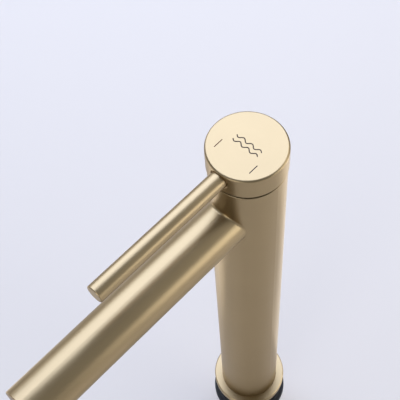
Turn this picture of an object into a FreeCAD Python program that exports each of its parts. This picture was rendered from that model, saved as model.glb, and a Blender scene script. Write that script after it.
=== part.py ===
"""Single-lever basin mixer, tall model: a slim round column with a straight tube spout and a pin lever.

Units are millimetres. The origin is the centre of the foot on the deck surface, +Z is up the column,
and the spout and the lever reach out along -Y. Threads are plain cylinders at their nominal sizes.
"""
import FreeCAD
import Part
import math
import os

# Driving dimensions -------------------------------------------------------------------------------
HEIGHT = 300.0              # deck to the top of the cap
CAP_R = 20.0
CAP_H = 13.7
CAP_GAP = 2.0               # shadow gap between the cap and the column
CAP_EDGE = 1.2              # rounding of the cap's top edge
COLUMN_R = 19.5
COLUMN_WALL = 2.5
LEVER_R = 4.65
LEVER_GROOVE = 0.3          # shadow line round the lever, where it enters the cap
LEVER_MOUTH = 0.5           # bevel of that groove's outer edge
LEVER_DROP = 6.2            # lever axis below the cap's top
LEVER_REACH = 98.0          # column axis to the lever's free end
LEVER_SEAT = 1.2            # depth of the lever's seat in the cap's side
SPOUT_R = 12.5
SPOUT_WALL = 1.5
SPOUT_DROP = 49.0           # spout axis below the cap's top
SPOUT_REACH = 150.0         # column axis to the spout's free end
OUTLET_REACH = 136.0        # column axis to the aerator's axis
SHANK_R = 16.0              # M32 x 1.5 mounting shank
SHANK_BORE_R = 13.6
SHANK_DROP = 62.0           # deck surface to the shank's lower end
DECK_THICKNESS = 20.0       # thickness that the clamp is set to
LIFT_ARM = 8.0              # lever pivot to the centre of the stem's ball

# Heights and radii that follow --------------------------------------------------------------------
CAP_Z = HEIGHT - CAP_H
COLUMN_TOP = CAP_Z - CAP_GAP
COLUMN_BORE_R = COLUMN_R - COLUMN_WALL
LEVER_Z = HEIGHT - LEVER_DROP
SPOUT_Z = HEIGHT - SPOUT_DROP
PIVOT_Z = COLUMN_TOP - 10.1
BALL_Z = PIVOT_Z - LIFT_ARM
CAP_RIM_R = CAP_R - 1.2     # inner radius of the cap's thin lower rim
CAVITY_R = math.hypot(CAP_RIM_R, CAP_Z - PIVOT_Z)   # ball-shaped hollow of the cap, about the pivot

# Cartridge stack, from its seat upwards -----------------------------------------------------------
SEAT_Z = PIVOT_Z - 23.6
PORT_SEAL_T = 1.0
BASE_T = 4.0
DISC_SEAL_T = 0.8
FIXED_DISC_T = 3.5
DISC_FILM = 0.02            # water film between the two ceramic discs
MOVING_DISC_T = 3.0
BASE_Z = SEAT_Z + PORT_SEAL_T
DISC_SEAL_Z = BASE_Z + BASE_T
FIXED_DISC_Z = DISC_SEAL_Z + DISC_SEAL_T
MOVING_DISC_Z = FIXED_DISC_Z + FIXED_DISC_T + DISC_FILM
CARRIER_Z = MOVING_DISC_Z + MOVING_DISC_T
CARRIER_TOP = CARRIER_Z + 5.2
HOUSING_R = 12.4
HOUSING_BORE_R = 10.5
HOUSING_NECK_R = 11.9
HOUSING_NECK_Z = PIVOT_Z - 2.6
HOUSING_TOP = PIVOT_Z + 5.7
LIP_Z = HOUSING_TOP - 1.6
LIP_R = 8.8
ROTOR_R = 10.3
ROTOR_TOP = LIP_Z - 0.2
ROTOR_Z = CARRIER_Z + 0.2
INLET_PORT = (3.7, -4.8, 1.6)      # x either side, y, radius
OUTLET_PORT = (0.0, 1.6, 2.4)
SLIDER_R = 9.0              # moving disc and its carrier
SLIDER_Y = 1.25             # their axis behind the stem's ball, with the valve shut
DISC_HOLLOW = (1.2, 4.55, 1.6)      # y, radius and depth of the hollow that joins the ports
STEM_HALF = 3.5             # half the square stem's width
STEM_TOP = HEIGHT - 3.9
BALL_R = 2.4
PIN_R = 1.5

# Valve core and its nut ---------------------------------------------------------------------------
CORE_R = COLUMN_BORE_R - 0.05
CORE_TOP = PIVOT_Z + 6.4
CORE_Z = SEAT_Z - 35.0
CORE_BORE_R = 12.7
NUT_THREAD_R = 14.0
HOSE_X, HOSE_Y, HOSE_THREAD_R = 7.6, -3.5, 4.5      # M10 x 1 hose inlets
HOSE_THREAD_L = 12.0
INLET_SPREAD = 10.2         # the waterways lean out to this distance from the middle plane
NIPPLE_Z = SPOUT_Z - 6.2
NIPPLE_R = 4.0
NIPPLE_BORE_R = 2.8
NIPPLE_Y = (-8.0, -31.0)

# Spout outlet -------------------------------------------------------------------------------------
SPOUT_BORE_R = SPOUT_R - SPOUT_WALL
END_CAP_T = 1.6
ADAPTER_END_Y = -34.0
COLLAR_R = 9.8
COLLAR_Z = SPOUT_Z - SPOUT_R - 2.2
COLLAR_TOP = SPOUT_Z - 5.0
AERATOR_R = 8.2
AERATOR_Z = COLLAR_Z + 0.5

# Foot and deck clamp ------------------------------------------------------------------------------
FLANGE_R = 25.0
FLANGE_H = 5.0
COLUMN_Z = FLANGE_H - 1.0   # the column stands 1 mm deep in the flange
FOOT_TOP = COLUMN_Z + 20.0
CLAMP_R = 26.0
CLAMP_CLEARANCE = 0.4
RUBBER_T, WASHER_T, NUT_T = 3.0, 2.0, 10.0
NUT_ACROSS_FLATS = 41.0

# Marks on the cap ---------------------------------------------------------------------------------
MARK_X = 10.9
MARK_Y = (-10.7, -5.1)
MARK_W = 0.45
MARK_DEPTH = 0.25


def vec(x, y, z):
    return FreeCAD.Vector(x, y, z)


def turned(profile, x=0.0, y=0.0):
    """Solid of revolution about the vertical line at (x, y), from a closed outline of (radius, z)."""
    points = [vec(x + r, y, z) for r, z in profile]
    face = Part.Face(Part.makePolygon(points + [points[0]]))
    return face.revolve(vec(x, y, 0), vec(0, 0, 1), 360)


def ring(r_out, r_in, z0, z1, x=0.0, y=0.0):
    return turned([(r_in, z0), (r_out, z0), (r_out, z1), (r_in, z1)], x, y)


def disc(r, z0, z1, x=0.0, y=0.0):
    return Part.makeCylinder(r, z1 - z0, vec(x, y, z0))


def rod_y(r, y0, y1, z, x=0.0):
    """Cylinder along Y between y0 and y1."""
    low = min(y0, y1)
    return Part.makeCylinder(r, abs(y1 - y0), vec(x, low, z), vec(0, 1, 0))


def block(x0, x1, y0, y1, z0, z1):
    return Part.makeBox(x1 - x0, y1 - y0, z1 - z0, vec(x0, y0, z0))


def hexagon(across_flats, z0, z1):
    radius = across_flats / math.sqrt(3)
    corners = [vec(radius * math.cos(math.radians(a)), radius * math.sin(math.radians(a)), z0)
               for a in range(30, 390, 60)]
    face = Part.Face(Part.makePolygon(corners + [corners[0]]))
    return face.extrude(vec(0, 0, z1 - z0))


def edges_at(shape, z=None, r=None, y=None):
    """The circular edges of a shape at a height, of a radius, or at a place along Y."""
    found = []
    for edge in shape.Edges:
        curve = edge.Curve
        if not isinstance(curve, Part.Circle):
            continue
        if z is not None and abs(curve.Center.z - z) > 1e-4:
            continue
        if y is not None and abs(curve.Center.y - y) > 1e-4:
            continue
        if r is not None and abs(curve.Radius - r) > 1e-4:
            continue
        found.append(edge)
    return found


# Handle -------------------------------------------------------------------------------------------
GRUB_Z = PIVOT_Z + 17.9
HUB_R = 6.8
HUB_Z = PIVOT_Z + 13.4
STUD_R = 2.5
PLUG_R = 2.7
GRUB_R = 2.5
GRUB_L = 4.0
GRUB_KEY = 2.5               # hexagon key, across flats


def mark_recess(side):
    x = side * MARK_X
    return block(x - MARK_W / 2, x + MARK_W / 2, MARK_Y[0], MARK_Y[1], HEIGHT - MARK_DEPTH, HEIGHT)


def handle_cap():
    """Turned cap: a ball-shaped hollow about the pivot lets its thin rim swing outside the column."""
    outer = disc(CAP_R, CAP_Z, HEIGHT)
    outer = outer.makeFillet(CAP_EDGE, edges_at(outer, z=HEIGHT))
    outer = outer.makeChamfer(0.2, edges_at(outer, z=CAP_Z, r=CAP_R))
    outer = outer.cut(rod_y(LEVER_R + LEVER_GROOVE, -CAP_R - 1, -CAP_R + LEVER_SEAT, LEVER_Z))
    mouth = [edge for edge in outer.Edges if edge.BoundBox.YMax < 0 and edge.BoundBox.YMin < -CAP_R + 0.01]
    outer = outer.makeChamfer(LEVER_MOUTH, mouth)
    cap = outer.cut(Part.makeSphere(CAVITY_R, vec(0, 0, PIVOT_Z)))
    cap = cap.fuse(disc(HUB_R, HUB_Z, HEIGHT - 2.0))
    socket = STEM_HALF + 0.03
    cap = cap.cut(block(-socket, socket, -socket, socket, HUB_Z - 1, STEM_TOP + 0.4))
    cap = cap.cut(rod_y(STUD_R, -CAP_R - 1, -CAP_R + 7.0, LEVER_Z))
    cap = cap.cut(rod_y(PLUG_R, HUB_R + 2, CAP_R + 1, GRUB_Z))
    cap = cap.cut(rod_y(GRUB_R, 0, HUB_R + 1, GRUB_Z))
    for side in (-1, 1):
        cap = cap.cut(mark_recess(side))
    return cap.removeSplitter()


def handle_lever():
    """Pin lever: a plain rod seated in the cap's side, tapped for its stud."""
    root_y = -CAP_R + LEVER_SEAT
    rod = rod_y(LEVER_R, -LEVER_REACH, root_y, LEVER_Z)
    rod = rod.makeChamfer(0.35, edges_at(rod, y=-LEVER_REACH))
    return rod.cut(rod_y(STUD_R, root_y - 12, root_y + 1, LEVER_Z))


def lever_stud():
    y0, y1 = -CAP_R - 9.0, -CAP_R + 6.5
    stud = rod_y(STUD_R, y0, y1, LEVER_Z)
    return stud.makeChamfer(0.4, edges_at(stud, y=y0) + edges_at(stud, y=y1))


def grub_screw():
    screw = rod_y(GRUB_R, STEM_HALF, STEM_HALF + GRUB_L, GRUB_Z)
    socket = hexagon(GRUB_KEY, 0, GRUB_L)
    socket.rotate(vec(0, 0, 0), vec(1, 0, 0), -90)
    socket.translate(vec(0, STEM_HALF + GRUB_L / 2, GRUB_Z))
    return screw.cut(socket)


def screw_plug():
    """Colour-matched plug over the grub screw, flush with the cap's side."""
    plug = rod_y(PLUG_R - 0.02, CAP_R - 4.0, CAP_R + 1, GRUB_Z)
    return plug.common(disc(CAP_R, CAP_Z, HEIGHT))


def cartridge_stem():
    """Square stem with its pivot eye and the ball that pushes the ceramic disc."""
    square_z = PIVOT_Z - 4.6
    stem = block(-STEM_HALF, STEM_HALF, -STEM_HALF, STEM_HALF, square_z, STEM_TOP)
    stem = stem.fuse(disc(1.7, BALL_Z, square_z + 0.5))
    stem = stem.fuse(Part.makeSphere(BALL_R, vec(0, 0, BALL_Z)))
    eye = Part.makeCylinder(PIN_R + 0.05, 20, vec(-10, 0, PIVOT_Z), vec(1, 0, 0))
    return stem.cut(eye)


# Cartridge ----------------------------------------------------------------------------------------
def port_holes(z0, z1, grow=0.0):
    x, y, r = INLET_PORT
    holes = [disc(r + grow, z0, z1, side * x, y) for side in (-1, 1)]
    holes.append(disc(OUTLET_PORT[2] + grow, z0, z1, OUTLET_PORT[0], OUTLET_PORT[1]))
    return holes


def cartridge_rotor():
    """Turning holder: a slot for the stem above, a channel for the disc carrier below."""
    rotor = disc(ROTOR_R, ROTOR_Z, ROTOR_TOP)
    rotor = rotor.cut(ring(ROTOR_R + 1, ROTOR_R - 1.1, PIVOT_Z - 5.6, PIVOT_Z - 3.9))
    slot_x, slot_y = STEM_HALF + 0.15, 5.4
    rotor = rotor.cut(block(-slot_x, slot_x, -slot_y, slot_y, ROTOR_Z - 1, ROTOR_TOP + 1))
    channel_x = 6.2
    rotor = rotor.cut(block(-channel_x, channel_x, -12, 12, ROTOR_Z - 1, CARRIER_TOP + 0.2))
    pin_hole = Part.makeCylinder(PIN_R, 19, vec(-9.5, 0, PIVOT_Z), vec(1, 0, 0))
    return rotor.cut(pin_hole)


def stem_pin():
    return Part.makeCylinder(PIN_R, 19, vec(-9.5, 0, PIVOT_Z), vec(1, 0, 0))


def rotor_o_ring():
    z0, z1 = PIVOT_Z - 5.5, PIVOT_Z - 4.0
    return ring(ROTOR_R + 0.12, ROTOR_R - 1.1, z0, z1)


def disc_carrier():
    """Sliding piece with the pocket that the stem's ball works in."""
    carrier = disc(SLIDER_R, CARRIER_Z, CARRIER_TOP, 0, SLIDER_Y)
    carrier = carrier.common(block(-6.0, 6.0, -12, 12, CARRIER_Z, CARRIER_TOP))
    pocket = disc(BALL_R + 0.12, CARRIER_Z + 0.7, CARRIER_TOP + 1)
    return carrier.cut(pocket)


def moving_disc():
    """Upper ceramic disc: the hollow below it joins the inlets to the outlet."""
    plate = disc(SLIDER_R, MOVING_DISC_Z, CARRIER_Z, 0, SLIDER_Y)
    hollow_y, hollow_r, depth = DISC_HOLLOW
    return plate.cut(disc(hollow_r, MOVING_DISC_Z - 1, MOVING_DISC_Z + depth, 0, hollow_y))


def fixed_disc():
    plate = disc(HOUSING_BORE_R - 0.1, FIXED_DISC_Z, FIXED_DISC_Z + FIXED_DISC_T)
    for hole in port_holes(FIXED_DISC_Z - 1, FIXED_DISC_Z + FIXED_DISC_T + 1):
        plate = plate.cut(hole)
    return plate


def seal_set(z0, z1):
    """Three rubber rings round the ports."""
    x, y, r = INLET_PORT
    rings = [ring(r + 0.9, r + 0.1, z0, z1, side * x, y) for side in (-1, 1)]
    rings.append(ring(OUTLET_PORT[2] + 0.9, OUTLET_PORT[2] + 0.1, z0, z1, OUTLET_PORT[0], OUTLET_PORT[1]))
    return Part.makeCompound(rings)


def cartridge_base():
    base = disc(HOUSING_R, BASE_Z, DISC_SEAL_Z)
    base = base.cut(ring(HOUSING_R + 1, HOUSING_R - 1.2, BASE_Z + 1.1, BASE_Z + 2.9))
    for hole in port_holes(BASE_Z - 1, DISC_SEAL_Z + 1):
        base = base.cut(hole)
    return base


def base_o_ring():
    return ring(CORE_BORE_R - 0.05, HOUSING_R - 1.2, BASE_Z + 1.2, BASE_Z + 2.8)


def cartridge_housing():
    """Plastic shell with the lip that keeps the rotor in."""
    return turned([
        (HOUSING_BORE_R, DISC_SEAL_Z), (HOUSING_R, DISC_SEAL_Z), (HOUSING_R, HOUSING_NECK_Z),
        (HOUSING_NECK_R, HOUSING_NECK_Z), (HOUSING_NECK_R, HOUSING_TOP), (LIP_R, HOUSING_TOP),
        (LIP_R, LIP_Z), (HOUSING_BORE_R, LIP_Z)])


def cartridge_nut():
    """Brass nut that holds the cartridge down, with four spanner slots."""
    r_thread, r_in = NUT_THREAD_R - 0.1, HOUSING_NECK_R + 0.15
    web_z, top_z, head_r = HOUSING_TOP + 0.15, PIVOT_Z + 8.4, 14.8
    nut = turned([
        (r_in, HOUSING_NECK_Z), (r_thread, HOUSING_NECK_Z), (r_thread, CORE_TOP), (head_r, CORE_TOP),
        (head_r, top_z), (8.6, top_z), (8.6, web_z), (r_in, web_z)])
    for x0, x1, y0, y1 in ((-20, 20, -2, 2), (-2, 2, -20, 20)):
        slot = block(x0, x1, y0, y1, web_z + 0.9, top_z + 1).cut(disc(11.5, web_z, top_z + 1))
        nut = nut.cut(slot)
    return nut


# Valve core, column and spout ---------------------------------------------------------------------
def valve_core():
    """Brass casting in the column's head: cartridge seat, hose inlets and the port to the spout."""
    core = turned([
        (0, CORE_Z), (CORE_R, CORE_Z), (CORE_R, CORE_TOP), (NUT_THREAD_R, CORE_TOP),
        (NUT_THREAD_R, HOUSING_NECK_Z - 0.4), (CORE_BORE_R, HOUSING_NECK_Z - 0.4),
        (CORE_BORE_R, SEAT_Z), (0, SEAT_Z)])
    x, y, r = INLET_PORT
    for side in (-1, 1):
        top = vec(side * x, y, SEAT_Z)
        run = vec(side * INLET_SPREAD, HOSE_Y, CORE_Z + HOSE_THREAD_L - 1.5) - top
        core = core.cut(Part.makeCylinder(r, run.Length, top, run))
        core = core.cut(Part.makeSphere(r, top))
        thread = disc(HOSE_THREAD_R, CORE_Z - 1, CORE_Z + HOSE_THREAD_L, side * HOSE_X, HOSE_Y)
        core = core.cut(thread)
    core = core.cut(disc(OUTLET_PORT[2], NIPPLE_Z, SEAT_Z + 1, OUTLET_PORT[0], OUTLET_PORT[1]))
    core = core.cut(rod_y(NIPPLE_BORE_R, NIPPLE_Y[0] - 1, OUTLET_PORT[1] + OUTLET_PORT[2], NIPPLE_Z))
    return core.cut(rod_y(NIPPLE_R, NIPPLE_Y[0], -CORE_R - 1, NIPPLE_Z))


def dome_ring():
    """Neck ring that hides the nut and fills the column's mouth under the cap."""
    r_out, r_in, dome_r, wall, mouth_r = COLUMN_BORE_R - 0.05, 15.2, CAVITY_R - 1.5, 1.5, 13.8
    z_top = PIVOT_Z + 20
    body = disc(r_out, CORE_TOP, z_top).common(Part.makeSphere(dome_r, vec(0, 0, PIVOT_Z)))
    hollow = disc(r_in, CORE_TOP - 1, z_top).common(Part.makeSphere(dome_r - wall, vec(0, 0, PIVOT_Z)))
    body = body.cut(hollow)
    return body.cut(disc(mouth_r, CORE_TOP - 1, z_top))


def column_tube():
    tube = ring(COLUMN_R, COLUMN_BORE_R, COLUMN_Z, COLUMN_TOP)
    tube = tube.makeChamfer(0.2, edges_at(tube, z=COLUMN_TOP, r=COLUMN_R))
    return tube.cut(rod_y(NIPPLE_R + 0.3, -COLUMN_R - 5, 0, NIPPLE_Z))


def spout_tube():
    """Straight tube, cut to the column's curve, with the hole for the aerator collar."""
    end_y = -SPOUT_REACH + END_CAP_T
    tube = rod_y(SPOUT_R, end_y, 0, SPOUT_Z)
    tube = tube.cut(rod_y(SPOUT_BORE_R, end_y - 1, 1, SPOUT_Z))
    tube = tube.cut(disc(COLUMN_R + 0.02, SPOUT_Z - 20, SPOUT_Z + 20))
    return tube.cut(disc(COLLAR_R, COLLAR_Z - 5, COLLAR_TOP, 0, -OUTLET_REACH))


def spout_end_cap():
    cap = rod_y(SPOUT_R, -SPOUT_REACH, -SPOUT_REACH + END_CAP_T, SPOUT_Z)
    return cap.makeChamfer(0.4, edges_at(cap, y=-SPOUT_REACH))


def spout_adapter():
    """Plug in the spout's root that carries the nipple, below the tube's axis."""
    plug = rod_y(SPOUT_BORE_R - 0.02, ADAPTER_END_Y, 0, SPOUT_Z)
    plug = plug.cut(disc(COLUMN_R + 0.02, SPOUT_Z - 20, SPOUT_Z + 20))
    plug = plug.cut(rod_y(NIPPLE_R, 0, NIPPLE_Y[1], NIPPLE_Z))
    return plug.cut(rod_y(NIPPLE_BORE_R, 0, ADAPTER_END_Y - 1, NIPPLE_Z))


def spout_nipple():
    nipple = rod_y(NIPPLE_R - 0.05, NIPPLE_Y[0], NIPPLE_Y[1], NIPPLE_Z)
    nipple = nipple.cut(rod_y(NIPPLE_BORE_R, NIPPLE_Y[0] + 1, NIPPLE_Y[1] - 1, NIPPLE_Z))
    return nipple.cut(ring_y(NIPPLE_R + 1, NIPPLE_R - 1.0, -14.6, -12.8, NIPPLE_Z))


def ring_y(r_out, r_in, y0, y1, z):
    return rod_y(r_out, y0, y1, z).cut(rod_y(r_in, y0 - 1, y1 + 1, z))


def nipple_o_ring():
    return ring_y(NIPPLE_R - 0.02, NIPPLE_R - 1.0, -14.5, -12.9, NIPPLE_Z)


# Aerator ------------------------------------------------------------------------------------------
def aerator_collar():
    """Threaded collar brazed in the underside of the spout."""
    y = -OUTLET_REACH
    collar = turned([
        (AERATOR_R, COLLAR_Z + 0.4), (AERATOR_R + 0.4, COLLAR_Z), (COLLAR_R - 0.3, COLLAR_Z),
        (COLLAR_R, COLLAR_Z + 0.3), (COLLAR_R, COLLAR_TOP), (6.4, COLLAR_TOP),
        (6.4, COLLAR_TOP - 1.2), (AERATOR_R, COLLAR_TOP - 1.2)], 0, y)
    return collar.common(rod_y(SPOUT_BORE_R, -SPOUT_REACH, 0, SPOUT_Z).fuse(
        disc(COLLAR_R + 1, COLLAR_Z - 1, SPOUT_Z - 2, 0, y)))


GASKET_Z = COLLAR_TOP - 1.2 - 1.2
SCREEN_Z = GASKET_Z - 0.5
INSERT_Z = AERATOR_Z + 0.8
INSERT_TOP = SCREEN_Z
CELL_PITCH = 2.0


def aerator_gasket():
    return ring(AERATOR_R - 0.1, 6.2, GASKET_Z, GASKET_Z + 1.2, 0, -OUTLET_REACH)


def aerator_housing():
    """Threaded shell with four key slots in its lower rim."""
    y = -OUTLET_REACH
    shell = turned([
        (AERATOR_R - 1.0, AERATOR_Z), (AERATOR_R - 0.05, AERATOR_Z),
        (AERATOR_R - 0.05, GASKET_Z), (AERATOR_R - 1.0, GASKET_Z)], 0, y)
    for turn in range(4):
        slot = block(AERATOR_R - 2, AERATOR_R + 1, -0.9, 0.9, AERATOR_Z - 1, AERATOR_Z + 0.7)
        slot.rotate(vec(0, 0, 0), vec(0, 0, 1), 45 + 90 * turn)
        slot.translate(vec(0, y, 0))
        shell = shell.cut(slot)
    return shell


def hex_grid(pitch, r_max):
    """Centres of a hexagonal grid that lie within a circle."""
    rows = int(r_max / pitch) + 2
    found = []
    for i in range(-rows, rows + 1):
        for j in range(-rows, rows + 1):
            x, y = pitch * (i + j / 2), pitch * j * math.sqrt(3) / 2
            if math.hypot(x, y) <= r_max:
                found.append((x, y))
    return found


def aerator_insert():
    """Moulded honeycomb that breaks the stream into even jets."""
    y = -OUTLET_REACH
    insert = disc(AERATOR_R - 1.03, INSERT_Z, INSERT_TOP, 0, y)
    cells = []
    for cx, cy in hex_grid(CELL_PITCH, AERATOR_R - 2.4):
        cell = hexagon(1.55, INSERT_Z - 1, INSERT_TOP + 1)
        cell.translate(vec(cx, cy + y, 0))
        cells.append(cell)
    return insert.cut(Part.makeCompound(cells))


def aerator_screen():
    """Pierced steel filter disc above the honeycomb."""
    y = -OUTLET_REACH
    screen = disc(AERATOR_R - 1.03, SCREEN_Z, GASKET_Z, 0, y)
    holes = [disc(0.45, SCREEN_Z - 1, GASKET_Z + 1, cx, cy + y) for cx, cy in hex_grid(1.6, 5.6)]
    return screen.cut(Part.makeCompound(holes))


# Foot and deck clamp ------------------------------------------------------------------------------
GASKET_R = (23.4, 18.6)
GASKET_T = 1.6


def base_flange():
    """Round foot with the seat for the column and the groove for the deck gasket."""
    flange = turned([
        (SHANK_R + 0.1, 0), (FLANGE_R, 0), (FLANGE_R, FLANGE_H - 0.6), (FLANGE_R - 0.6, FLANGE_H),
        (COLUMN_R + 0.05, FLANGE_H), (COLUMN_R + 0.05, COLUMN_Z), (SHANK_R + 0.1, COLUMN_Z)])
    return flange.cut(ring(GASKET_R[0], GASKET_R[1], -1, GASKET_T))


def deck_gasket():
    return ring(GASKET_R[0], GASKET_R[1], 0, GASKET_T)


def column_foot():
    """Brass bush brazed in the column's lower end; the shank screws into it."""
    return ring(CORE_R, SHANK_R + 0.05, COLUMN_Z, FOOT_TOP)


def threaded_shank():
    top = FOOT_TOP - 2
    return turned([
        (SHANK_BORE_R, -SHANK_DROP), (SHANK_R - 0.9, -SHANK_DROP), (SHANK_R, -SHANK_DROP + 0.9),
        (SHANK_R, top - 0.9), (SHANK_R - 0.9, top), (SHANK_BORE_R, top)])


def clamp_rubber():
    return ring(CLAMP_R, SHANK_R + CLAMP_CLEARANCE, -DECK_THICKNESS - RUBBER_T, -DECK_THICKNESS)


def clamp_washer():
    top = -DECK_THICKNESS - RUBBER_T
    washer = ring(CLAMP_R, SHANK_R + CLAMP_CLEARANCE, top - WASHER_T, top)
    return washer.makeChamfer(0.3, edges_at(washer, r=CLAMP_R))


def clamp_nut():
    """Hexagon nut, its corners chamfered above and below."""
    top = -DECK_THICKNESS - RUBBER_T - WASHER_T
    bottom = top - NUT_T
    corner_r = NUT_ACROSS_FLATS / math.sqrt(3)
    blank = turned([
        (0, bottom), (NUT_ACROSS_FLATS / 2, bottom), (corner_r + 0.2, bottom + 1.8),
        (corner_r + 0.2, top - 1.8), (NUT_ACROSS_FLATS / 2, top), (0, top)])
    nut = hexagon(NUT_ACROSS_FLATS, bottom, top).common(blank)
    bore_r = SHANK_R + 0.1
    bore = turned([
        (0, bottom - 1), (bore_r + 1.9, bottom - 1), (bore_r, bottom + 0.9),
        (bore_r, top - 0.9), (bore_r + 1.9, top + 1), (0, top + 1)])
    return nut.cut(bore)


NODES = {
    "handle_cap": handle_cap,
    "handle_lever": handle_lever,
    "lever_stud": lever_stud,
    "grub_screw": grub_screw,
    "screw_plug": screw_plug,
    "hot_mark": lambda: mark_recess(-1),
    "cold_mark": lambda: mark_recess(1),
    "cartridge_stem": cartridge_stem,
    "cartridge_rotor": cartridge_rotor,
    "stem_pin": stem_pin,
    "rotor_o_ring": rotor_o_ring,
    "disc_carrier": disc_carrier,
    "moving_disc": moving_disc,
    "fixed_disc": fixed_disc,
    "disc_seals": lambda: seal_set(DISC_SEAL_Z, FIXED_DISC_Z),
    "cartridge_base": cartridge_base,
    "port_seals": lambda: seal_set(SEAT_Z, BASE_Z),
    "base_o_ring": base_o_ring,
    "cartridge_housing": cartridge_housing,
    "cartridge_nut": cartridge_nut,
    "dome_ring": dome_ring,
    "valve_core": valve_core,
    "column_tube": column_tube,
    "spout_tube": spout_tube,
    "spout_end_cap": spout_end_cap,
    "spout_adapter": spout_adapter,
    "spout_nipple": spout_nipple,
    "nipple_o_ring": nipple_o_ring,
    "aerator_collar": aerator_collar,
    "aerator_gasket": aerator_gasket,
    "aerator_screen": aerator_screen,
    "aerator_insert": aerator_insert,
    "aerator_housing": aerator_housing,
    "base_flange": base_flange,
    "deck_gasket": deck_gasket,
    "column_foot": column_foot,
    "threaded_shank": threaded_shank,
    "clamp_rubber": clamp_rubber,
    "clamp_washer": clamp_washer,
    "clamp_nut": clamp_nut,
}


def main():
    os.makedirs("parts", exist_ok=True)
    for name, make in NODES.items():
        shape = make()
        if not shape.isValid() or not shape.Solids:
            raise ValueError(name + " is not a valid solid")
        shape.exportStep("parts/" + name + ".step")
        print(name, len(shape.Solids), round(shape.Volume, 1))


main()
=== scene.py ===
"""The looks of the single-lever basin mixer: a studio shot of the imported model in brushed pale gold."""
import bmesh
import bpy
import math
from mathutils import Matrix, Vector

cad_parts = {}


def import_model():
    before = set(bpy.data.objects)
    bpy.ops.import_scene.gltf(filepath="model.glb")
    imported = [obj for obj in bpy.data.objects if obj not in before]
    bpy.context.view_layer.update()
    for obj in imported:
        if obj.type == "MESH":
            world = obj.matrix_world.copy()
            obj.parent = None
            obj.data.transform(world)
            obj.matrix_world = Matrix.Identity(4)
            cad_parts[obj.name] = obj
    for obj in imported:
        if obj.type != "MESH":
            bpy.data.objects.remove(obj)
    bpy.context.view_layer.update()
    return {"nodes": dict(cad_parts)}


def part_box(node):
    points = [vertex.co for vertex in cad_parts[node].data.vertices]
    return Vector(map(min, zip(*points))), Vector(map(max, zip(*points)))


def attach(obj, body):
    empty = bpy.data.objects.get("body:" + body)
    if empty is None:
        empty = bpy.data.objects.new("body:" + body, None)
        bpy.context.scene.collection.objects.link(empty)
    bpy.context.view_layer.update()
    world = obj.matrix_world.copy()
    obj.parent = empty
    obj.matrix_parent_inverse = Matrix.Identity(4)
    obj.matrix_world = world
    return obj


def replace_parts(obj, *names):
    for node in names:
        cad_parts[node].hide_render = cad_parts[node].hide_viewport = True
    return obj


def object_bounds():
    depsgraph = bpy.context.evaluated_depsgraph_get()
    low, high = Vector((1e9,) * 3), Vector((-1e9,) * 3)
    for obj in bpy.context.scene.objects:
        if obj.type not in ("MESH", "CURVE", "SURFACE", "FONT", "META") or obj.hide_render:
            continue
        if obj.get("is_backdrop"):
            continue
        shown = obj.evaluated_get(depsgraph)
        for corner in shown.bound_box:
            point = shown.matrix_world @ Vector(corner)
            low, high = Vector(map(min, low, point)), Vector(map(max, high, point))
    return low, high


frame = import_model()
NODES = frame["nodes"]
TURN = 2 * math.pi

# Camera: where it stands in the part's frame, in metres, and how it looks from there, in degrees
CAMERA_AT = Vector((0.1610, -0.1755, 0.6522))
CAMERA_AZIMUTH, CAMERA_ELEVATION, CAMERA_ROLL = 48.319, 59.163, -5.461
LENS_MM, SENSOR_MM = 82.87, 36.0


# Sizes read from the frame -------------------------------------------------------------------------
def middle(node):
    low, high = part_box(node)
    return (low + high) / 2


def radius(node):
    """Half of a round vertical node's width."""
    low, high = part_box(node)
    return (high.x - low.x) / 2


COLUMN_R = radius("column_tube")
SPOUT_R = radius("spout_tube")
SPOUT_Z = middle("spout_end_cap").z
COLLAR_R = radius("aerator_collar")
COLLAR_Y = middle("aerator_collar").y
CAP_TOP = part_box("handle_cap")[1].z
LEVER_Z = middle("handle_lever").z


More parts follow.
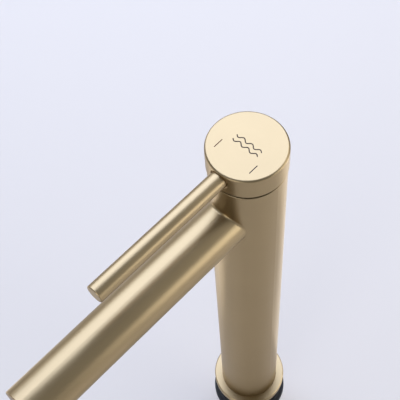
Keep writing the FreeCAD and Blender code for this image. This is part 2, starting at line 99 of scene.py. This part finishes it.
# Materials ----------------------------------------------------------------------------------------
class Nodes:
    """A new node material, with short calls that add and join its nodes."""

    def __init__(self, name):
        self.material = bpy.data.materials.new(name)
        self.material.use_nodes = True
        self.tree = self.material.node_tree
        self.shader = self.tree.nodes["Principled BSDF"]

    def add(self, kind, **values):
        node = self.tree.nodes.new(kind)
        for key, value in values.items():
            setattr(node, key, value)
        return node

    def join(self, output, socket):
        self.tree.links.new(output, socket)

    def set(self, **values):
        """Constants on the shader's own sockets, with _ for each space of a socket's name."""
        for key, value in values.items():
            self.shader.inputs[key.replace("_", " ")].default_value = value

    def place(self, scale, shift=(0, 0, 0)):
        """The point on the object, moved by a shift and stretched by a scale for each axis."""
        where = self.add("ShaderNodeTexCoord")
        moved = self.add("ShaderNodeVectorMath", operation="SUBTRACT")
        moved.inputs[1].default_value = shift
        self.join(where.outputs["Object"], moved.inputs[0])
        stretched = self.add("ShaderNodeVectorMath", operation="MULTIPLY")
        stretched.inputs[1].default_value = scale
        self.join(moved.outputs[0], stretched.inputs[0])
        return stretched.outputs[0]

    def turned(self, along, shift, fine, coarse):
        """Coordinates whose noise runs in rings about an axis through shift: along is the axis."""
        across = [0.0 if k == along else 1.0 for k in range(3)]
        out = self.add("ShaderNodeVectorMath", operation="LENGTH")
        self.join(self.place(across, shift), out.inputs[0])
        height = self.add("ShaderNodeSeparateXYZ")
        self.join(self.place((1, 1, 1), shift), height.inputs[0])
        rings = self.add("ShaderNodeCombineXYZ")
        self.join(out.outputs["Value"], rings.inputs[0])
        self.join(height.outputs[along], rings.inputs[1])
        scaled = self.add("ShaderNodeVectorMath", operation="SCALE")
        scaled.inputs["Scale"].default_value = fine
        self.join(rings.outputs[0], scaled.inputs[0])
        total = self.add("ShaderNodeVectorMath", operation="ADD")
        self.join(scaled.outputs[0], total.inputs[0])
        self.join(self.place((coarse, coarse, coarse), shift), total.inputs[1])
        return total.outputs[0]

    def facing(self, along):
        """1 where the surface faces along an axis, 0 where it runs beside it."""
        geometry = self.add("ShaderNodeNewGeometry")
        parts = self.add("ShaderNodeSeparateXYZ")
        self.join(geometry.outputs["Normal"], parts.inputs[0])
        size = self.add("ShaderNodeMath", operation="ABSOLUTE")
        self.join(parts.outputs[along], size.inputs[0])
        return self.remap(size.outputs[0], 0.0, 1.0, 0.6, 0.8)

    def blend(self, factor, a, b):
        """Coordinates a where the factor is 0, and b where it is 1."""
        node = self.add("ShaderNodeMix", data_type="VECTOR")
        self.join(factor, node.inputs["Factor"])
        self.join(a, node.inputs[4])
        self.join(b, node.inputs[5])
        return node.outputs[1]

    def noise(self, vector, detail):
        """Noise at coordinates that already carry its scale."""
        node = self.add("ShaderNodeTexNoise")
        node.inputs["Scale"].default_value = 1.0
        node.inputs["Detail"].default_value = detail
        node.inputs["Roughness"].default_value = 0.6
        self.join(vector, node.inputs["Vector"])
        return node.outputs["Fac"]

    def remap(self, value, low, high, start=0.3, end=0.7):
        """The value from start to end, turned into low to high. Most of a noise is between 0.3 and 0.7."""
        node = self.add("ShaderNodeMapRange")
        for key, number in (("From Min", start), ("From Max", end), ("To Min", low), ("To Max", high)):
            node.inputs[key].default_value = number
        self.join(value, node.inputs["Value"])
        return node.outputs["Result"]

    def sum(self, a, b):
        """Two values added."""
        node = self.add("ShaderNodeMath", operation="ADD")
        self.join(a, node.inputs[0])
        self.join(b, node.inputs[1])
        return node.outputs[0]

    def colour(self, value, stops):
        """Base colour from a ramp: stops are pairs of a place on it and a colour."""
        node = self.add("ShaderNodeValToRGB")
        elements = node.color_ramp.elements
        while len(elements) < len(stops):
            elements.new(0.5)
        for element, (place, colour) in zip(elements, stops):
            element.position = place
            element.color = (*colour, 1.0)
        self.join(value, node.inputs["Fac"])
        self.join(node.outputs["Color"], self.shader.inputs["Base Color"])

    def rough(self, value):
        self.join(value, self.shader.inputs["Roughness"])

    def bump(self, value, distance, strength):
        node = self.add("ShaderNodeBump")
        node.inputs["Distance"].default_value = distance
        node.inputs["Strength"].default_value = strength
        self.join(value, node.inputs["Height"])
        self.join(node.outputs["Normal"], self.shader.inputs["Normal"])


Y, Z = 1, 2                             # numbers of the axes
CENTRE = (0, 0, 0)
GOLD = (0.396, 0.301, 0.169)
GAP_SHADE_GOLD = (0.190, 0.122, 0.048)       # painted shade: the ring in the gap is a darkened gold so the gap reads dark
EDGE_TINT = (0.80, 0.76, 0.70, 1)
GRAIN, SMEAR = 5200.0, 45.0             # the brushing's scale across and along its lines
CLOUD = 24.0                            # the scale of the uneven tone


def shade(colour, amount):
    """A colour made lighter or darker."""
    return tuple(channel * amount for channel in colour)


def satin_gold(name, grain, tone=GOLD):
    """Satin gold plating. grain(n) gives the coordinates that its brushing follows."""
    n = Nodes(name)
    fine = n.noise(grain(n), detail=3.0)
    cloud = n.noise(n.place((CLOUD, CLOUD, CLOUD)), detail=2.0)
    n.colour(cloud, [(0.3, shade(tone, 0.97)), (0.5, tone), (0.7, shade(tone, 1.03))])
    n.rough(n.sum(n.remap(fine, 0.32, 0.37), n.remap(cloud, -0.01, 0.01)))
    n.bump(fine, distance=0.000008, strength=0.2)
    n.set(Metallic=1.0, Specular_Tint=EDGE_TINT)
    return n.material


def rings_about(along, shift):
    """Brushing in rings about an axis through shift."""
    return lambda n: n.turned(along, shift, GRAIN, SMEAR)


def lengthwise(along, shift):
    """Straight brushing along a rod, and rings on its ends."""
    side = [SMEAR if k == along else GRAIN for k in range(3)]
    return lambda n: n.blend(n.facing(along), n.place(side), n.turned(along, shift, GRAIN, SMEAR))


def raw_brass():
    """Turned brass, with the cutter's fine rings and a little tarnish."""
    n = Nodes("turned_brass")
    rings = n.noise(n.turned(Z, CENTRE, fine=2600.0, coarse=20.0), detail=2.0)
    stain = n.noise(n.place((160, 160, 160)), detail=5.0)
    n.colour(stain, [(0.3, (0.42, 0.27, 0.09)), (0.55, (0.60, 0.42, 0.16)), (0.75, (0.66, 0.48, 0.21))])
    n.rough(n.sum(n.remap(rings, 0.24, 0.36), n.remap(stain, 0.04, -0.02)))
    n.bump(rings, distance=0.00002, strength=0.5)
    n.set(Metallic=1.0)
    return n.material


def stainless():
    """Turned stainless steel."""
    n = Nodes("stainless")
    rings = n.noise(n.turned(Z, CENTRE, fine=3000.0, coarse=30.0), detail=2.0)
    n.colour(rings, [(0.35, (0.50, 0.49, 0.47)), (0.65, (0.60, 0.59, 0.57))])
    n.rough(n.remap(rings, 0.24, 0.38))
    n.bump(rings, distance=0.00001, strength=0.5)
    n.set(Metallic=1.0)
    return n.material


def moulded(name, dark, light, rough, relief=0.00002, shine=0.5):
    """Moulded plastic, rubber or enamel: two close shades, a fine grain and uneven gloss."""
    n = Nodes(name)
    fine = n.noise(n.place((2500, 2500, 2500)), detail=2.0)
    cloud = n.noise(n.place((90, 90, 90)), detail=4.0)
    n.colour(cloud, [(0.3, dark), (0.7, light)])
    n.rough(n.remap(cloud, rough - 0.05, rough + 0.05))
    n.bump(fine, distance=relief, strength=0.5)
    n.set(Specular_IOR_Level=shine)
    return n.material


def ceramic():
    """Polished white alumina."""
    n = Nodes("alumina")
    fine = n.noise(n.place((1500, 1500, 1500)), detail=2.0)
    n.colour(fine, [(0.35, (0.80, 0.79, 0.75)), (0.65, (0.87, 0.86, 0.83))])
    n.rough(n.remap(fine, 0.16, 0.24))
    n.bump(fine, distance=0.000004, strength=0.3)
    return n.material


def paint(material, *names):
    """The material on every slot of the named nodes."""
    for name in names:
        for slot in NODES[name].material_slots:
            slot.material = material


upright_gold = satin_gold("gold_turned", rings_about(Z, CENTRE))
# Painted shade: the ring in the gap under the cap gets a darkened gold, so the gap reads dark.
painted_shade_neck_gold = satin_gold("gold_neck_painted_shade", rings_about(Z, CENTRE), GAP_SHADE_GOLD)
spout_gold = satin_gold("gold_spout", lengthwise(Y, (0, 0, SPOUT_Z)))
lever_gold = satin_gold("gold_lever", lengthwise(Y, (0, 0, LEVER_Z)))
collar_gold = satin_gold("gold_collar", rings_about(Z, (0, COLLAR_Y, 0)))
brass = raw_brass()
steel = stainless()
rubber = moulded("black_rubber", (0.012, 0.012, 0.013), (0.026, 0.026, 0.027), 0.62)
acetal = moulded("acetal", (0.60, 0.61, 0.60), (0.70, 0.71, 0.70), 0.42)
aerator_plastic = moulded("aerator_plastic", (0.34, 0.37, 0.41), (0.42, 0.45, 0.49), 0.38)
MATT = {"rough": 0.6, "relief": 0.00001, "shine": 0.1}
hot_enamel = moulded("hot_enamel", (0.060, 0.012, 0.008), (0.080, 0.018, 0.012), **MATT)
cold_enamel = moulded("cold_enamel", (0.008, 0.010, 0.022), (0.012, 0.016, 0.032), **MATT)
print_ink = moulded("print_ink", (0.060, 0.045, 0.036), (0.080, 0.062, 0.050), **MATT)

paint(upright_gold, "column_tube", "handle_cap", "base_flange", "screw_plug")
# Painted shade: the darkened gold goes on the ring seen in the gap.
paint(painted_shade_neck_gold, "dome_ring")
paint(spout_gold, "spout_tube", "spout_end_cap")
paint(lever_gold, "handle_lever")
paint(collar_gold, "aerator_collar")
paint(brass, "lever_stud", "valve_core", "cartridge_nut", "spout_adapter", "spout_nipple", "column_foot",
      "threaded_shank", "clamp_nut")
paint(steel, "grub_screw", "cartridge_stem", "stem_pin", "clamp_washer", "aerator_screen")
paint(ceramic(), "moving_disc", "fixed_disc")
paint(acetal, "cartridge_rotor", "disc_carrier", "cartridge_base", "cartridge_housing")
paint(aerator_plastic, "aerator_insert", "aerator_housing")
paint(rubber, "rotor_o_ring", "disc_seals", "port_seals", "base_o_ring", "nipple_o_ring", "aerator_gasket",
      "deck_gasket", "clamp_rubber")
paint(hot_enamel, "hot_mark")
paint(cold_enamel, "cold_mark")


# Pieces -------------------------------------------------------------------------------------------
FINE_WELD, COARSE_WELD = 1e-7, 2e-6
SHARP_ANGLE = math.radians(35)
ROUND_STEPS = 96
SINK = 0.00003              # depth of a fillet's back under the tubes' skins
SPOUT_FILLET, COLLAR_FILLET = 0.0013, 0.0007


def skin(rings, wrap=True):
    """Quads between rings of equally many points. wrap joins the last ring to the first."""
    bm = bmesh.new()
    rows = [[bm.verts.new(point) for point in ring] for ring in rings]
    count = len(rows[0])
    following_rows = rows[1:] + rows[:1] if wrap else rows[1:]
    for row, following in zip(rows, following_rows):
        for k in range(count):
            j = (k + 1) % count
            bm.faces.new((row[k], row[j], following[j], following[k]))
    return bm


def make_piece(name, bm, body, material, weld=FINE_WELD):
    """A piece from the mesh, with points closer than weld made one. It rides on a body."""
    bmesh.ops.remove_doubles(bm, verts=bm.verts, dist=weld)
    bmesh.ops.dissolve_degenerate(bm, edges=bm.edges, dist=weld)
    bmesh.ops.recalc_face_normals(bm, faces=bm.faces)
    mesh = bpy.data.meshes.new(name)
    bm.to_mesh(mesh)
    bm.free()
    mesh.materials.append(material)
    made = bpy.data.objects.new(name, mesh)
    bpy.context.scene.collection.objects.link(made)
    smooth(made)
    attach(made, body)
    return made


def smooth(made):
    """Smooth shading, with the sharp edges kept sharp."""
    mesh = made.data
    for polygon in mesh.polygons:
        polygon.use_smooth = True
    bm = bmesh.new()
    bm.from_mesh(mesh)
    for edge in bm.edges:
        if len(edge.link_faces) == 2 and edge.calc_face_angle() > SHARP_ANGLE:
            edge.smooth = False
    bm.to_mesh(mesh)
    bm.free()


def fillet_ring(name, small_r, big_r, fillet_r, place, material, steps=128, arc_steps=8):
    """The concave fillet where a small round tube meets a big one at a right angle.

    It is made with the big tube along Z and the small one along -Y, and place carries it home.
    """
    rings = []
    for i in range(steps):
        t = TURN * i / steps
        x, z = (small_r + fillet_r) * math.cos(t), (small_r + fillet_r) * math.sin(t)
        y = -math.sqrt((big_r + fillet_r) ** 2 - x * x)
        centre = Vector((x, y, z))
        to_small = Vector((-math.cos(t), 0, -math.sin(t)))
        to_big = Vector((-x, -y, 0)).normalized()
        arc = [to_small.slerp(to_big, k / arc_steps) * fillet_r for k in range(arc_steps + 1)]
        inner_r = small_r - SINK
        root = Vector((inner_r * math.cos(t), 0, inner_r * math.sin(t)))
        root.y = -math.sqrt((big_r - SINK) ** 2 - root.x ** 2)
        under_small = Vector((inner_r * math.cos(t), y, inner_r * math.sin(t)))
        under_big = Vector((x, y, 0)) * ((big_r - SINK) / (big_r + fillet_r)) + Vector((0, 0, z))
        ring = [under_small] + [centre + p for p in arc] + [under_big, root]
        rings.append([place @ p for p in ring])
    return make_piece(name, skin(rings), "body", material)


THREAD_PITCH, THREAD_DEPTH, THREAD_LEAD = 0.0015, 0.00086, 0.0009
SHANK_WALL = 0.0024
LEAD_DROP = 0.00002         # how far the chamfers end below the thread's root


def shank_thread():
    """The hollow shank with its real M32 x 1.5 thread, chamfered at both ends."""
    low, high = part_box("threaded_shank")
    crest_r = radius("threaded_shank")
    root_r, bore_r = crest_r - THREAD_DEPTH, crest_r - SHANK_WALL
    crest, flank = 1 / 8, 3 / 8     # their shares of one pitch
    profile = [(0.0, crest_r), (crest, crest_r), (crest + flank, root_r), (2 * crest + flank, root_r)]
    turns = range(-2, int((high.z - low.z) / THREAD_PITCH) + 2)
    rings = []
    for i in range(ROUND_STEPS):
        share = i / ROUND_STEPS
        c, s = math.cos(TURN * share), math.sin(TURN * share)
        ring = [(bore_r * c, bore_r * s, low.z)]
        for k in turns:
            for phase, r in profile:
                z = low.z + (k + phase + share) * THREAD_PITCH
                z = min(max(z, low.z), high.z)
                chamfer_r = root_r - LEAD_DROP + min(z - low.z, high.z - z) * THREAD_DEPTH / THREAD_LEAD
                r = min(r, chamfer_r)
                ring.append((r * c, r * s, z))
        ring.append((bore_r * c, bore_r * s, high.z))
        rings.append(ring)
    shift = len(profile)
    seam = rings[0]
    rings.append([seam[0]] + seam[1 + shift:-1] + [seam[-2]] * shift + [seam[-1]])
    return make_piece("shank_thread", skin(rings, wrap=False), "body", brass, COARSE_WELD)


def wave_emblem():
    """A generic mark: two small waves, printed across the cap."""
    length, swing, wave, width, thick = 0.0150, 0.00075, 0.0050, 0.00055, 0.00004
    off_centre, steps, tip_steps = 0.0014, 72, 6
    bm = bmesh.new()
    for row in (-1, 1):
        centre_y = row * off_centre
        left, right = [], []
        for i in range(steps + 1):
            x = length * (i / steps - 0.5)
            y = centre_y + swing * math.sin(TURN * x / wave)
            slope = swing * TURN / wave * math.cos(TURN * x / wave)
            across = Vector((-slope, 1)).normalized() * (width / 2)
            left.append(Vector((x, y)) + across)
            right.append(Vector((x, y)) - across)
        far_tip = tip(left[-1], right[-1], tip_steps)
        near_tip = tip(right[0], left[0], tip_steps)
        outline = left + far_tip + right[::-1] + near_tip
        top = [bm.verts.new((p.x, p.y, CAP_TOP + thick)) for p in outline]
        foot = [bm.verts.new((p.x, p.y, CAP_TOP - thick)) for p in outline]
        count = len(outline)
        for k in range(count):
            j = (k + 1) % count
            bm.faces.new((top[k], top[j], foot[j], foot[k]))
        bm.faces.new(top)
        bm.faces.new(foot[::-1])
    bmesh.ops.triangulate(bm, faces=[f for f in bm.faces if len(f.verts) > 4])
    return make_piece("wave_emblem", bm, "handle", print_ink, COARSE_WELD)


def tip(start, end, steps):
    """Points round a half circle from start to end, clockwise, without the two ends."""
    centre, arm = (start + end) / 2, (start - end) / 2
    side = Vector((arm.y, -arm.x))
    return [centre + arm * math.cos(math.pi * k / steps) + side * math.sin(math.pi * k / steps)
            for k in range(1, steps)]


def rubber_ring():
    """The clamp's rubber with soft edges and three moulded grooves in each face."""
    low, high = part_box("clamp_rubber")
    gap, edge, groove_w, groove_h, corner_steps = 0.0004, 0.0005, 0.0011, 0.00025, 5
    outer, inner = radius("clamp_rubber"), radius("threaded_shank") + gap
    corners = [(outer - edge, high.z - edge, 0), (outer - edge, low.z + edge, -90),
               (inner + edge, low.z + edge, 180), (inner + edge, high.z - edge, 90)]
    outline = []
    grooves = [inner + (outer - inner) * share for share in (0.25, 0.5, 0.75)]

    def arc(r, z, start):
        for k in range(corner_steps + 1):
            a = math.radians(start + 90 - 90 * k / corner_steps)
            outline.append((r + edge * math.cos(a), z + edge * math.sin(a)))

    def face(z, order, heading):
        for r in order:
            for share in (-1, -0.5, 0, 0.5, 1):
                depth = groove_h * (1 - share * share)
                outline.append((r + heading * share * groove_w / 2, z - heading * depth))

    arc(*corners[0])
    arc(*corners[1])
    face(low.z, grooves[::-1], -1)
    arc(*corners[2])
    arc(*corners[3])
    face(high.z, grooves, 1)
    rings = []
    for i in range(ROUND_STEPS):
        c, s = math.cos(TURN * i / ROUND_STEPS), math.sin(TURN * i / ROUND_STEPS)
        rings.append([(r * c, r * s, z) for r, z in outline])
    return make_piece("rubber_ring", skin(rings), "body", rubber)


level = Matrix.Translation((0, 0, SPOUT_Z))
down = Matrix(((1, 0, 0, 0), (0, 0, -1, COLLAR_Y), (0, 1, 0, SPOUT_Z), (0, 0, 0, 1)))
fillet_ring("spout_weld", SPOUT_R, COLUMN_R, SPOUT_FILLET, level, upright_gold)
fillet_ring("collar_weld", COLLAR_R, SPOUT_R, COLLAR_FILLET, down, collar_gold)
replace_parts(shank_thread(), "threaded_shank")
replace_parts(rubber_ring(), "clamp_rubber")
wave_emblem()


# Studio -------------------------------------------------------------------------------------------
AIM = Vector((0, -0.03, 0.25))          # the soft boxes face this point
BACKDROP = (0.74, 0.75, 0.83, 1)
PAPER = (0.755, 0.705, 0.655, 1)
DIM, DIM_STRENGTH = (0.93, 0.95, 1.0, 1), 0.3
FLOOR_SIZE, FLOOR_DROP, CARD_LIFT = 12, 0.0002, 0.004
FLOOR_FADE = (0.50, 1.15)               # where the fade starts and ends, from the column
WHITE, DAYLIGHT, WARM = (1.0, 1.0, 1.0), (0.91, 1.05, 1.42), (1.00, 0.95, 0.82)
BOX_DISTANCE = 1.5
# name, azimuth, elevation, width, height, radiance, colour
SOFTBOXES = [
    ("key_box", -125, 50, 1.9, 1.7, 2.6, DAYLIGHT),
    ("key_low", -105, 12, 1.3, 0.6, 0.55, WHITE),
    ("back_high", 170, 50, 1.0, 0.5, 1.0, WHITE),
    ("side_high", 125, 42, 1.0, 0.7, 0.2, WHITE),
    ("back_box", 152, 25, 0.8, 0.55, 1.6, WARM),
    ("side_box", 120, 4, 1.0, 0.75, 2.15, WHITE),
    ("front_box", 15, 14, 0.6, 0.9, 1.8, WHITE),
    ("front_low", -15, -8, 1.2, 0.3, 1.4, WHITE),
    ("left_low", -60, -9, 0.8, 0.3, 0.8, WHITE),
    ("right_low", 70, -9, 0.8, 0.3, 0.7, WHITE),
    ("back_low", 130, -9, 0.8, 0.3, 1.8, WHITE),
]
# name, azimuth, reach from the column, width, depth, radiance
CARDS = [
    ("card_back_right", 150, 0.42, 0.25, 0.26, 3.1),
    ("card_right", 90, 0.42, 0.50, 0.26, 0.15),
    ("card_front_left", -60, 0.42, 0.25, 0.26, 1.2),
    ("card_behind", 180, 0.16, 0.12, 0.20, 0.95),
    ("card_left", -60, 0.20, 0.12, 0.16, 1.1),
]


def floor():
    """A sheet of pale paper. Far from the tap the camera sees it fade into the backdrop's colour."""
    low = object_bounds()[0].z
    bpy.ops.mesh.primitive_plane_add(size=FLOOR_SIZE, location=(0, 0, low - FLOOR_DROP))
    plane = bpy.context.object
    plane.name = "studio_floor"
    n = Nodes("studio_paper")
    n.set(Roughness=0.9, Base_Color=PAPER, Specular_IOR_Level=0.1)
    where = n.add("ShaderNodeTexCoord")
    reach = n.add("ShaderNodeVectorMath", operation="LENGTH")
    n.join(where.outputs["Object"], reach.inputs[0])
    path = n.add("ShaderNodeLightPath")
    fade = n.add("ShaderNodeMath", operation="MULTIPLY")
    n.join(n.remap(reach.outputs["Value"], 0.0, 1.0, *FLOOR_FADE), fade.inputs[0])
    n.join(path.outputs["Is Camera Ray"], fade.inputs[1])
    glow = n.add("ShaderNodeEmission")
    glow.inputs["Color"].default_value = BACKDROP
    mix = n.add("ShaderNodeMixShader")
    n.join(fade.outputs[0], mix.inputs[0])
    n.join(n.shader.outputs[0], mix.inputs[1])
    n.join(glow.outputs[0], mix.inputs[2])
    n.join(mix.outputs[0], n.tree.nodes["Material Output"].inputs["Surface"])
    plane.data.materials.append(n.material)
    plane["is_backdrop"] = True


def direction(azimuth, elevation):
    """Unit vector towards an azimuth from -Y round to +X, and an elevation, in degrees."""
    a, e = math.radians(azimuth), math.radians(elevation)
    return Vector((math.sin(a) * math.cos(e), -math.cos(a) * math.cos(e), math.sin(e)))


def area_light(name, width, height, radiance, colour):
    """A rectangular light of a given radiance. The camera doesn't see it, but the metal does."""
    light = bpy.data.lights.new(name, "AREA")
    light.shape = "RECTANGLE"
    light.size, light.size_y = width, height
    light.energy = radiance * math.pi * width * height
    light.color = colour
    lamp = bpy.data.objects.new(name, light)
    bpy.context.scene.collection.objects.link(lamp)
    lamp.rotation_mode = "QUATERNION"
    lamp.visible_camera = False
    return lamp


def softbox(name, azimuth, elevation, width, height, radiance, colour):
    """A light that faces the tap, with its width level."""
    lamp = area_light(name, width, height, radiance, colour)
    out = direction(azimuth, elevation)
    lamp.location = AIM + out * BOX_DISTANCE
    lamp.rotation_quaternion = out.to_track_quat("Z", "Y")


def bounce_card(name, azimuth, reach, width, depth, radiance):
    """A glowing card that lies on the floor beside the tap and faces up."""
    lamp = area_light(name, width, depth, radiance, WHITE)
    lamp.location = direction(azimuth, 0) * reach + Vector((0, 0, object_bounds()[0].z + CARD_LIFT))
    aside = Matrix.Rotation(math.radians(azimuth), 3, "Z").to_quaternion()
    upward = Matrix.Rotation(math.pi, 3, "X").to_quaternion()
    lamp.rotation_quaternion = aside @ upward


def world():
    """Dim, even light from all round. The camera itself sees a pale backdrop above the horizon."""
    studio = bpy.data.worlds.new("studio")
    bpy.context.scene.world = studio
    studio.use_nodes = True
    nodes, links = studio.node_tree.nodes, studio.node_tree.links
    dim = nodes["Background"]
    dim.inputs["Color"].default_value = DIM
    dim.inputs["Strength"].default_value = DIM_STRENGTH
    pale = nodes.new("ShaderNodeBackground")
    pale.inputs["Color"].default_value = BACKDROP
    path = nodes.new("ShaderNodeLightPath")
    mix = nodes.new("ShaderNodeMixShader")
    links.new(path.outputs["Is Camera Ray"], mix.inputs["Fac"])
    links.new(dim.outputs[0], mix.inputs[1])
    links.new(pale.outputs[0], mix.inputs[2])
    links.new(mix.outputs[0], nodes["World Output"].inputs["Surface"])


def camera():
    """The camera, rolled a little about its own axis."""
    data = bpy.data.cameras.new("camera")
    data.lens, data.sensor_width = LENS_MM, SENSOR_MM
    data.clip_start, data.clip_end = 0.01, 50
    cam = bpy.data.objects.new("camera", data)
    bpy.context.scene.collection.objects.link(cam)
    back = direction(CAMERA_AZIMUTH, CAMERA_ELEVATION)
    right = (-back).cross(Vector((0, 0, 1))).normalized()
    up = right.cross(-back)
    roll = math.radians(CAMERA_ROLL)
    x = right * math.cos(roll) + up * math.sin(roll)
    y = up * math.cos(roll) - right * math.sin(roll)
    cam.matrix_world = Matrix.Translation(CAMERA_AT) @ Matrix((x, y, back)).transposed().to_4x4()
    bpy.context.scene.camera = cam


floor()
world()
for box in SOFTBOXES:
    softbox(*box)
for card in CARDS:
    bounce_card(*card)
camera()
bpy.context.scene.view_settings.view_transform = "Standard"
